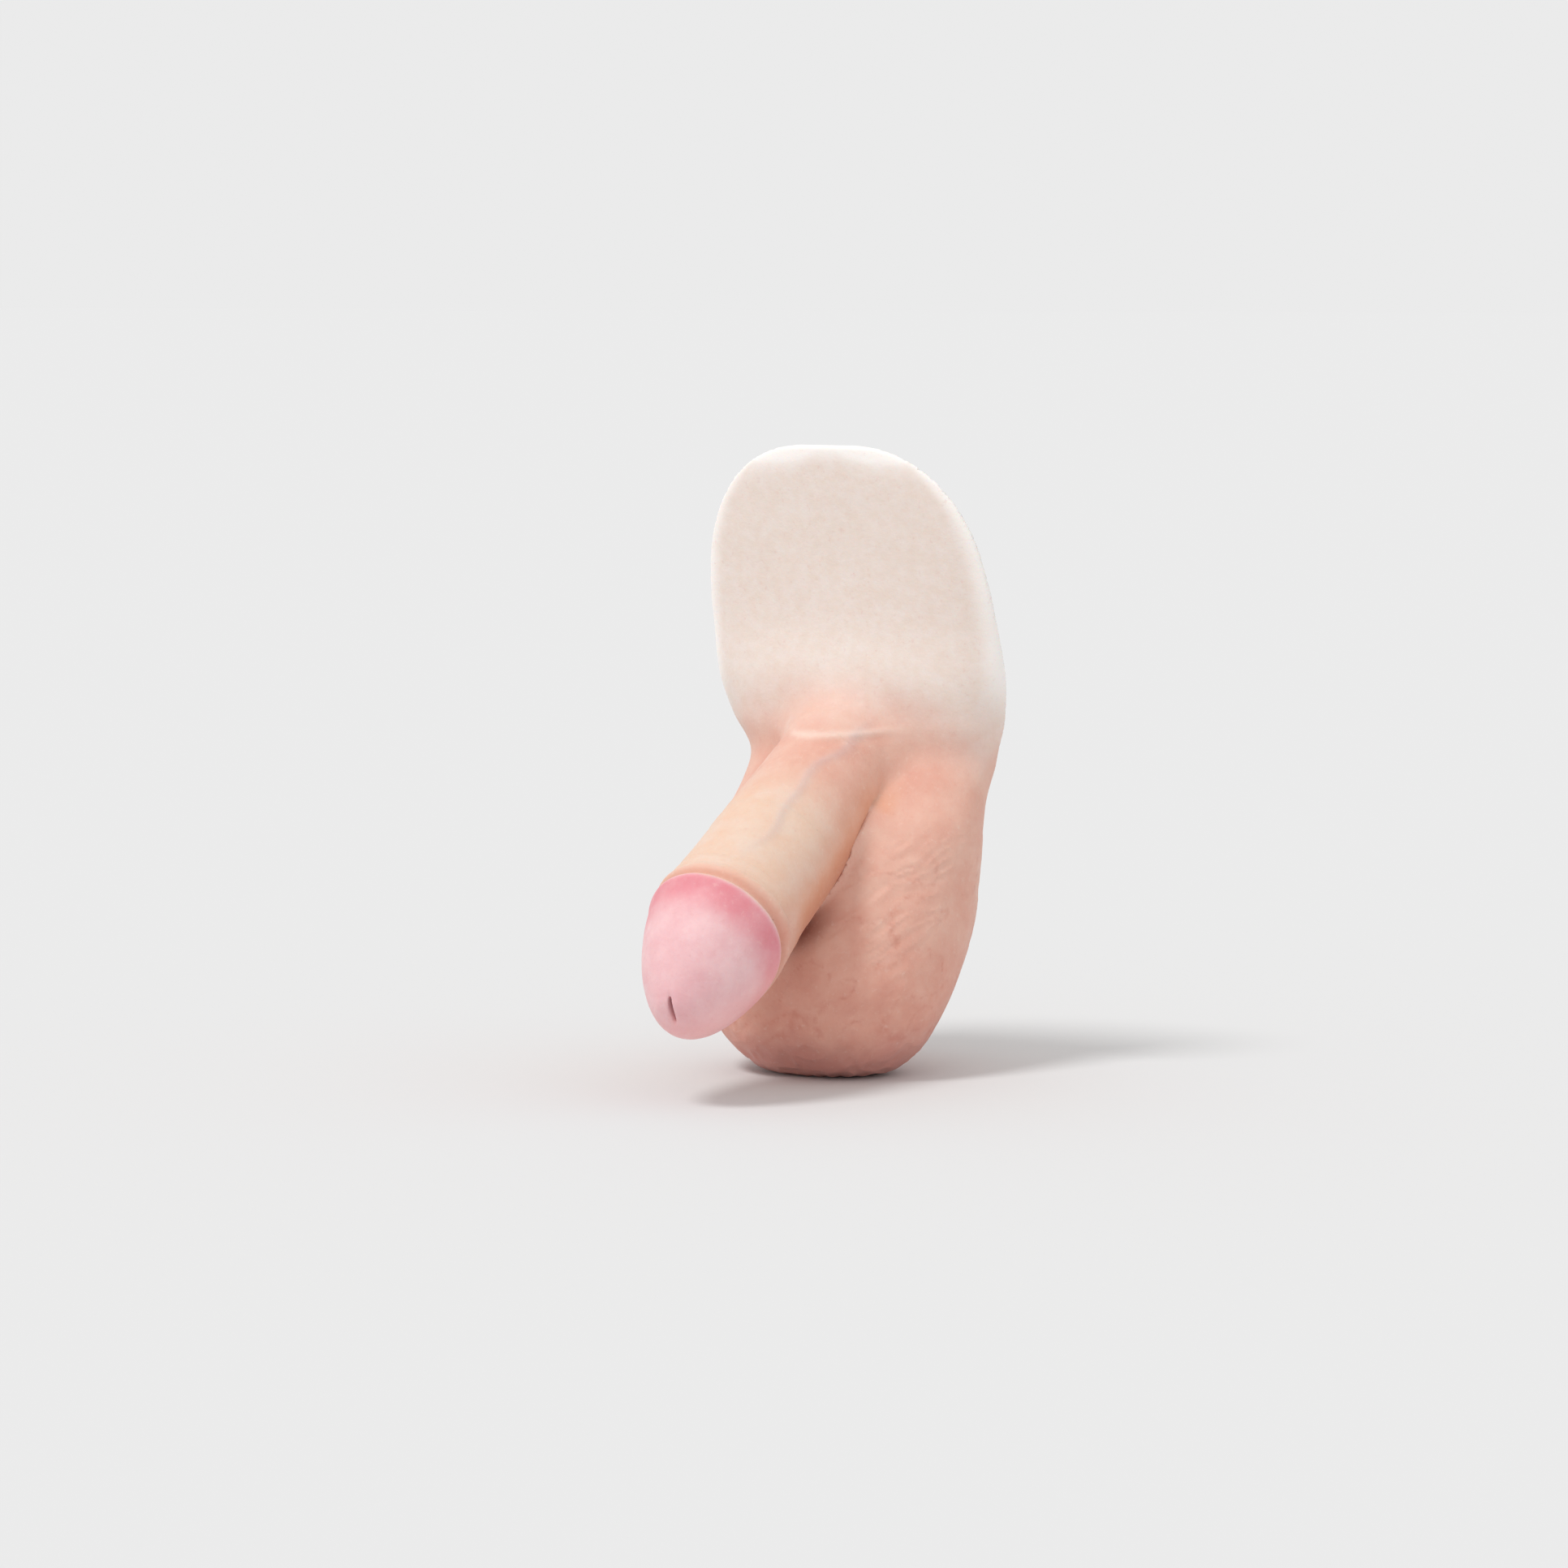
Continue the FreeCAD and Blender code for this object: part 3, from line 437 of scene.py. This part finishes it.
def paint(points, body):
    """Where each colour lies, as masks from 0 to 1 over points at rest. Most are the casting's own colours,
    but edge, fold and under (on the glans) carry painted light, and the masks for the shaft's underside
    against the scrotum and for the space beneath the shaft carry painted shade.

    body says that the points are the body's. Past the root it only lies beside the shaft, so the shaft's own
    colours end there, and it alone takes the painted shade of the space between the two.
    """
    x, y, z = points.T
    local = in_shaft(points)
    height, along = local[:, 1], local[:, 2]
    out = np.hypot(x, height)
    on_shaft = ramp(out, 24.0, 19.5) * ramp(along, 12.0, 30.0)
    if body:
        on_shaft = on_shaft * ramp(along, 29.0, 24.0)
    patchy = layered(points / 14.0, 71)
    sections, _ = through(z, BODY)
    past_rim = along - rim_place(local)
    under = np.clip(-height / 18.0, 0.0, 1.0)
    side = np.clip(np.abs(x) / 18.0, 0.0, 1.0)
    tab = ramp(z + 4.0 * patchy + 0.5 * np.maximum(np.abs(x) - 15.0, 0.0), 86.0, 113.0) * (1.0 - on_shaft)
    outward = np.abs(x) / sections[0]
    # Painted light: the tab's thin sides and top are painted near white, for the light that shows through
    # the thin silicone there.
    edge = ramp(outward, 0.86, 1.0) * ramp(z, 92.0, 108.0)
    edge = np.maximum(edge, ramp(z, 157.0, 167.0) * ramp(outward, 0.1, 0.6) + ramp(z, 161.0, 167.5))
    # Painted shade: the shaft's underside, from the root on, where it lies against the scrotum, is painted
    # darker brown.
    root_underside_shade = on_shaft * ramp(height, 2.0, -9.0) * ramp(along, 24.0, 36.0)
    # Painted shade: the dark space beneath the shaft, where it leaves the scrotum, is painted dark brown on
    # the body.
    painted_gap_shade = bump(out, 20.0, 3.6) * ramp(height, 4.0, -6.0) * ramp(along, 50.0, 62.0) * ramp(along, 88.0, 78.0)
    sulcus = bump(past_rim, -2.2, 2.4) * ramp(past_rim, 0.2, -0.8) * ramp(height, -12.0, 2.0)
    ridge = ramp(past_rim, -0.5, 2.0) * ramp(past_rim + 1.5 * patchy, 13.0, 4.0)
    vessel = bump(noise(slanting(points) / np.array([12.0, 6.0, 3.4]), 91), 0.0, 0.10)
    return {
        "tab": tab,
        "edge": np.clip(edge, 0.0, 1.0),
        "shaft_top": on_shaft * ramp(height + 2.0 * patchy, -6.0, 14.0) * ramp(along, 28.0, 56.0),
        "fold": fold_line(points),
        "shaft_side": on_shaft * ramp(height, 11.0, -6.0) * ramp(-past_rim, 4.0, 16.0),
        "low": ramp(z + 5.0 * patchy, 52.0, 8.0) * (1.0 - on_shaft),
        "foot": ramp(z + 2.0 * patchy, 18.0, 1.0) * (1.0 - on_shaft),
        "painted_crease_shade": root_underside_shade * (1.0 - ramp(along, 70.0, 90.0)),
        "painted_gap_shade": painted_gap_shade * ramp(out, 17.9, 18.8) * body,
        "glans": ramp(past_rim + 0.5 * noise(points / 2.5, 83), -0.9, 1.1),
        "ridge": ridge * (1.0 - 0.6 * under * (1.0 - side)),
        "sulcus": sulcus,
        # Painted light: on the glans this mask paints the underside lighter, against the shade that falls
        # there.
        "under": ramp(-height, 0.0, 14.0),
        "vein": vein_line(local),
        "vessel": vessel * ramp(z, 66.0, 50.0),
    }


# ------------------------------------------------------------------ materials


def linear(red, green, blue):
    """A colour given as display values, each well above black and up to 255, as linear light."""
    return tuple(((c / 255 + 0.055) / 1.055) ** 2.4 for c in (red, green, blue)) + (1.0,)


class Nodes:
    """Short hands for building one material's nodes."""

    def __init__(self, name):
        self.material = bpy.data.materials.new(name)
        self.material.use_nodes = True
        self.tree = self.material.node_tree
        self.shader = self.tree.nodes["Principled BSDF"]

    def new(self, kind, **values):
        """One more node, with its settings."""
        node = self.tree.nodes.new(kind)
        for key, value in values.items():
            setattr(node, key, value)
        return node

    def link(self, source, target):
        self.tree.links.new(source, target)

    def mask(self, name):
        """A painted mask."""
        return self.new("ShaderNodeAttribute", attribute_name=name).outputs["Fac"]

    def place(self):
        """Where the point is at rest, in millimetres, so that a pattern stays on the skin as it bends."""
        return self.new("ShaderNodeAttribute", attribute_name="rest_mm").outputs["Vector"]

    def fill(self, sockets, values):
        """Sets each socket to a plain value, or links another node's output to it."""
        for socket, value in zip(sockets, values):
            if isinstance(value, (int, float, tuple)):
                socket.default_value = value
            else:
                self.link(value, socket)

    def combine(self, operation, a, b):
        node = self.new("ShaderNodeMath", operation=operation)
        self.fill(node.inputs, (a, b))
        return node.outputs[0]

    def mix(self, share, a, b):
        """Colour a, with this share of colour b."""
        node = self.new("ShaderNodeMix", data_type="RGBA")
        # The node has sockets for each kind of data: inputs 6 and 7 and output 2 are the colours.
        self.fill((node.inputs[0], node.inputs[6], node.inputs[7]), (share, a, b))
        return node.outputs[2]

    def texture(self, size, detail=3.0, roughness=0.5):
        """Noise whose features are about this many millimetres across."""
        node = self.new("ShaderNodeTexNoise")
        node.inputs["Scale"].default_value = 1.0 / size
        node.inputs["Detail"].default_value = detail
        node.inputs["Roughness"].default_value = roughness
        self.link(self.place(), node.inputs["Vector"])
        return node.outputs["Fac"]

    def between(self, value, low, high, to_low=0.0, to_high=1.0):
        """The value, with low to high spread over to_low to to_high."""
        node = self.new("ShaderNodeMapRange")
        self.link(value, node.inputs["Value"])
        for key, number in zip(("From Min", "From Max", "To Min", "To Max"), (low, high, to_low, to_high)):
            node.inputs[key].default_value = number
        return node.outputs["Result"]


def silicone(name):
    """Skin-toned silicone: base tones by painted mask, with painted light and shade in places, mottled, with
    fine pores and creases.
    """
    n = Nodes(name)
    mottle = n.texture(9.0, 4.0, 0.6)
    blotch = n.between(n.texture(3.2, 3.0, 0.6), 0.35, 0.65)
    speck = n.texture(1.5, 3.0, 0.6)
    broad = n.between(mottle, 0.35, 0.68)

    def tone(light, dark, share=broad):
        return n.mix(share, linear(*light), linear(*dark))

    colour = tone((227, 182, 164), (221, 167, 149))
    colour = n.mix(n.mask("low"), colour, tone((225, 170, 152), (213, 150, 133)))
    flush = n.combine("MULTIPLY", n.mask("low"), n.between(blotch, 0.2, 1.0, 0.0, 0.35))
    colour = n.mix(flush, colour, linear(224, 160, 140))
    vessel = n.combine("MULTIPLY", n.mask("vessel"), n.between(blotch, 0.2, 1.0, 0.0, 0.42))
    colour = n.mix(vessel, colour, linear(196, 118, 100))
    colour = n.mix(n.combine("MULTIPLY", n.mask("foot"), 0.6), colour, linear(184, 124, 120))
    # Painted highlight: a pale line along the ridge of the fold across the mound.
    colour = n.mix(n.combine("MULTIPLY", n.mask("fold"), 0.55), colour, linear(240, 218, 205))
    colour = n.mix(n.mask("shaft_side"), colour, tone((226, 165, 136), (221, 156, 123)))
    colour = n.mix(n.mask("shaft_top"), colour, tone((226, 200, 182), (226, 190, 166)))
    colour = n.mix(n.mask("tab"), colour, tone((235, 222, 214), (232, 216, 205), blotch))
    # Painted light: near white on the tab's thin sides and top.
    colour = n.mix(n.combine("MULTIPLY", n.mask("edge"), 0.9), colour, linear(252, 247, 243))
    rose = tone((236, 194, 196), (228, 176, 180))
    deep = n.combine("MULTIPLY", n.mask("ridge"), n.between(mottle, 0.25, 0.6, 0.6, 0.95))
    rose = n.mix(deep, rose, linear(222, 134, 144))
    # Painted light: the glans's underside is painted lighter and warmer, against the shade that falls there.
    rose = n.mix(n.combine("MULTIPLY", n.mask("under"), 0.55), rose, linear(252, 186, 182))
    colour = n.mix(n.mask("glans"), colour, rose)
    colour = n.mix(n.combine("MULTIPLY", n.mask("sulcus"), 0.55), colour, linear(224, 156, 138))
    colour = n.mix(n.combine("MULTIPLY", n.mask("vein"), 0.26), colour, linear(186, 176, 182))
    # Painted shade: brown along the shaft's underside, where it lies against the scrotum.
    colour = n.mix(n.combine("MULTIPLY", n.mask("painted_crease_shade"), 0.5), colour, linear(192, 118, 92))
    # Painted shade: dark brown in the space beneath the shaft, on the body.
    colour = n.mix(n.combine("MULTIPLY", n.mask("painted_gap_shade"), 0.92), colour, linear(116, 44, 26))
    colour = n.mix(n.between(speck, 0.60, 0.80, 0.0, 0.20), colour, linear(200, 122, 110))
    colour = n.mix(n.between(speck, 0.40, 0.20, 0.0, 0.20), colour, linear(246, 232, 222))
    n.link(colour, n.shader.inputs["Base Color"])
    n.link(n.between(mottle, 0.3, 0.7, 0.50, 0.64), n.shader.inputs["Roughness"])
    n.shader.inputs["Specular IOR Level"].default_value = 0.30
    n.shader.inputs["Subsurface Weight"].default_value = 0.12
    n.shader.inputs["Subsurface Radius"].default_value = (1.0, 0.45, 0.28)
    n.shader.inputs["Subsurface Scale"].default_value = 0.0015
    n.shader.inputs["Sheen Weight"].default_value = 0.06
    pores = n.new("ShaderNodeTexVoronoi", feature="SMOOTH_F1")
    pores.inputs["Scale"].default_value = 1.0 / 1.3
    n.link(n.place(), pores.inputs["Vector"])
    pitted = n.combine("MULTIPLY", pores.outputs["Distance"], 0.5)
    height = n.combine("ADD", pitted, n.texture(0.8, 3.0, 0.7))
    relief = n.new("ShaderNodeBump")
    relief.inputs["Strength"].default_value = 0.35
    relief.inputs["Distance"].default_value = 0.00025
    n.link(height, relief.inputs["Height"])
    n.link(relief.outputs["Normal"], n.shader.inputs["Normal"])
    return n.material


def mesh_cloth(name):
    """The woven backing: a fine open net pressed into clear silicone."""
    n = Nodes(name)
    weave = []
    for axis in ("X", "Z"):
        wave = n.new("ShaderNodeTexWave", wave_type="BANDS", bands_direction=axis)
        wave.inputs["Scale"].default_value = 0.32
        wave.inputs["Distortion"].default_value = 0.3
        n.link(n.place(), wave.inputs["Vector"])
        weave.append(wave.outputs["Fac"])
    thread = n.combine("MAXIMUM", *weave)
    grain = n.texture(6.0, 3.0)
    colour = n.mix(n.between(thread, 0.45, 0.85), linear(226, 205, 188), linear(244, 236, 225))
    colour = n.mix(n.between(grain, 0.4, 0.7, 0.0, 0.25), colour, linear(230, 205, 186))
    n.link(colour, n.shader.inputs["Base Color"])
    n.shader.inputs["Roughness"].default_value = 0.72
    n.shader.inputs["Sheen Weight"].default_value = 0.15
    relief = n.new("ShaderNodeBump")
    relief.inputs["Strength"].default_value = 0.6
    relief.inputs["Distance"].default_value = 0.0003
    n.link(thread, relief.inputs["Height"])
    n.link(relief.outputs["Normal"], n.shader.inputs["Normal"])
    return n.material


# ------------------------------------------------------------------ building the skin


def body_field(points):
    """Distance from the body's skin, wrinkles and all, cut flat where it stands."""
    form = body_form(points)
    near = np.abs(form) < 3.0
    form[near] -= wrinkles(points[near])
    return soft_max(form, -points[:, 2], 0.3)


def shaft_field(local):
    """Distance from the skin of shaft and glans, in the shaft's own frame."""
    form = shaft_form(local)
    near = np.abs(form) < 2.0
    form[near] -= wrinkles(from_shaft(local[near]))
    return form


def union_normals(points, own, reach):
    """Near the seam of shaft and mound, both skins take the normals of one surface that runs through it."""

    def union(p):
        return soft_min(body_field(p), shaft_field(in_shaft(p)), 2.5)

    share = reach[:, None]
    near = reach > 0.001
    mixed = own.copy()
    mixed[near] = own[near] * (1 - share[near]) + slope_of(union, points[near], 0.8) * share[near]
    return mixed / np.linalg.norm(mixed, axis=1)[:, None]


def seam_reach(points):
    """1 at the seam of shaft and mound on its top and sides, 0 away from it."""
    local = in_shaft(points)
    out = np.hypot(local[:, 0], local[:, 1])
    return bump(local[:, 2], SEAM_AT, 4.5) * ramp(local[:, 1], -9.0, -3.0) * ramp(out, 21.5, 19.0)


skin = silicone("skin_silicone")

body_step = 0.8
low, high = np.array([-47.0, -36.0, -1.6]), np.array([47.0, 42.0, 170.4])
block = sampled(low, high, body_step, body_field)
points, quads = surface_net(block, low, body_step)
quads = biggest(quads, len(points))
points = relaxed(points, quads, body_field)
normals = union_normals(points, slope_of(body_field, points), seam_reach(points))
body = make_piece("body_skin", points, quads, normals, paint(points, True), points)
body.data.materials.append(skin)
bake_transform(body)
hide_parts("base_skin", "tab_top_skin", "scrotum_gel", "mound_pad")

shaft_step = 0.45
low, high = np.array([-22.0, -22.5, 17.6]), np.array([22.0, 22.5, 119.0])
block = sampled(low, high, shaft_step, shaft_field)
local, quads = surface_net(block, low, shaft_step)
quads = biggest(quads, len(local))
local = relaxed(local, quads, shaft_field)
points = from_shaft(local)
slope = slope_of(shaft_field, local)
normals = slope[:, :1] * np.array([1.0, 0, 0]) + slope[:, 1:2] * ABOVE + slope[:, 2:] * AHEAD
normals = union_normals(points, normals, seam_reach(points))
masks = paint(points, False)
facing = local[quads].mean(1)
past_groove = facing[:, 2] - rim_place(facing) > -1.6  # the glans starts in the groove behind its rim
lengths = {
    "shaft_skin_near": facing[:, 2] < LENGTH_CUT,
    "shaft_skin_far": (facing[:, 2] >= LENGTH_CUT) & ~past_groove,
    "glans_skin": past_groove,
}
made = {}
for name, chosen in lengths.items():
    made[name] = make_piece(name, points, quads[chosen], normals, masks, points)
    made[name].data.materials.append(skin)


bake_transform(made["shaft_skin_near"])
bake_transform(made["shaft_skin_far"])
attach(made["glans_skin"], "shaft_far")
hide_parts("shaft_near_skin", "shaft_near_core", "shaft_root_core")
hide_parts("shaft_far_skin", "shaft_far_core")
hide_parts("glans")


# ------------------------------------------------------------------ the backing


def backing_sheet():
    """A thin rounded panel of net lying on the flat back, its edge sunk a little into the silicone."""
    half, low_end, high_end, corner = 31.0, -26.0, 60.0, 15.0
    proud, sunk = 0.25, -0.5
    across, up = np.meshgrid(np.linspace(-half, half, 63), np.linspace(low_end, high_end, 87), indexing="ij")
    mid, half_up = (low_end + high_end) / 2, (high_end - low_end) / 2
    box = np.stack([np.abs(across) - (half - corner), np.abs(up - mid) - (half_up - corner)], -1)
    inside = np.linalg.norm(np.maximum(box, 0.0), axis=-1)
    pull = np.where(inside > corner, corner / np.maximum(inside, 1e-6), 1.0)
    round_across = np.sign(across) * (half - corner + box[..., 0] * pull)
    round_up = mid + np.sign(up - mid) * (half_up - corner + box[..., 1] * pull)
    across = np.where(box[..., 0] > 0, round_across, across)
    up = np.where(box[..., 1] > 0, round_up, up)
    rise = np.array([0.0, -math.sin(LEAN), math.cos(LEAN)])
    rows, columns = across.shape
    layers = []
    for lift in (proud, sunk):
        flat = across[..., None] * np.array([1.0, 0, 0]) + up[..., None] * rise
        layers.append((BACK_POINT + BACK_NORMAL * lift + flat).reshape(-1, 3))
    points = np.concatenate(layers)
    number = np.arange(rows * columns).reshape(rows, columns)
    front = np.stack([number[:-1, :-1], number[:-1, 1:], number[1:, 1:], number[1:, :-1]], -1).reshape(-1, 4)
    rim = np.concatenate([number[0, :-1], number[:-1, -1], number[-1, :0:-1], number[:0:-1, 0]])
    onward = np.roll(rim, -1)
    under = rows * columns
    sides = np.stack([rim, rim + under, onward + under, onward], 1)
    return points, front, front[:, ::-1] + under, sides


points, outer, inner, sides = backing_sheet()
mesh = bpy.data.meshes.new("backing_net")
mesh.from_pydata((points * MM).tolist(), [], np.concatenate([outer, inner, sides]).tolist())
where = mesh.attributes.new("rest_mm", "FLOAT_VECTOR", "POINT")
where.data.foreach_set("vector", points.astype(np.float32).ravel())
mesh.update()
backing = bpy.data.objects.new("backing_net", mesh)
bpy.context.scene.collection.objects.link(backing)
mesh.materials.append(mesh_cloth("backing_weave"))
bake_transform(backing)
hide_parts("back_mesh_lower", "back_mesh_upper")

# The inserts are sealed inside, so they keep their own shapes and only take the silicone's finish.
insert = Nodes("insert_silicone")
mottle = insert.new("ShaderNodeTexNoise")
mottle.inputs["Scale"].default_value = 180.0
colour = insert.mix(mottle.outputs["Fac"], linear(226, 190, 170), linear(212, 170, 150))
insert.link(colour, insert.shader.inputs["Base Color"])
insert.shader.inputs["Roughness"].default_value = 0.45
for name in ("insert_left", "insert_right"):
    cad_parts[name].data.materials.clear()
    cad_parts[name].data.materials.append(insert.material)

# ------------------------------------------------------------------ floor, light and camera

SKY = 0.83  # with the sun below, the floor comes out as bright as the sky, so no horizon shows

scene = bpy.context.scene
scene.view_settings.view_transform = "Standard"

stage = Nodes("pale_floor")
stage.shader.inputs["Base Color"].default_value = (0.69, 0.69, 0.69, 1.0)
stage.shader.inputs["Roughness"].default_value = 1.0
stage.shader.inputs["Specular IOR Level"].default_value = 0.0
bpy.ops.mesh.primitive_plane_add(size=60.0, location=(0, 0, 0))
floor = bpy.context.object
floor.name = "floor"
floor.data.materials.append(stage.material)

world = bpy.data.worlds.new("studio")
scene.world = world
world.use_nodes = True
world.node_tree.nodes["Background"].inputs["Color"].default_value = (1.0, 1.0, 1.0, 1.0)
world.node_tree.nodes["Background"].inputs["Strength"].default_value = SKY

# The view is taken from 30 degrees round from the object's own front.
VIEW = math.radians(30.0)
TO_RIGHT = Vector((math.cos(VIEW), math.sin(VIEW), 0))
INTO = Vector((-math.sin(VIEW), math.cos(VIEW), 0))

# A broad soft sun from the front, high on the left, so the shadow falls softly to the right.
lamp = bpy.data.lights.new("key", "SUN")
lamp.energy, lamp.angle = 1.4, math.radians(16.0)
key = bpy.data.objects.new("key", lamp)
key.rotation_euler = (TO_RIGHT * 0.5 + INTO * 0.38 - Vector((0, 0, 1))).to_track_quat("-Z", "Y").to_euler()
scene.collection.objects.link(key)

# A long lens, about a metre and a third from the object and looking a little down.
LENS = 3.3075  # focal length over the sensor's width
DOWN = math.radians(5.551)

camera = bpy.data.cameras.new("camera")
camera.sensor_width = 36.0
camera.lens = LENS * camera.sensor_width
camera.clip_start = 0.05
view = bpy.data.objects.new("camera", camera)
scene.collection.objects.link(view)
view.location = TO_RIGHT * -0.0134 - INTO * 1.381 + Vector((0, 0, 0.211))
ahead = INTO * math.cos(DOWN) - Vector((0, 0, math.sin(DOWN)))
view.rotation_euler = ahead.to_track_quat("-Z", "Y").to_euler()
scene.camera = view
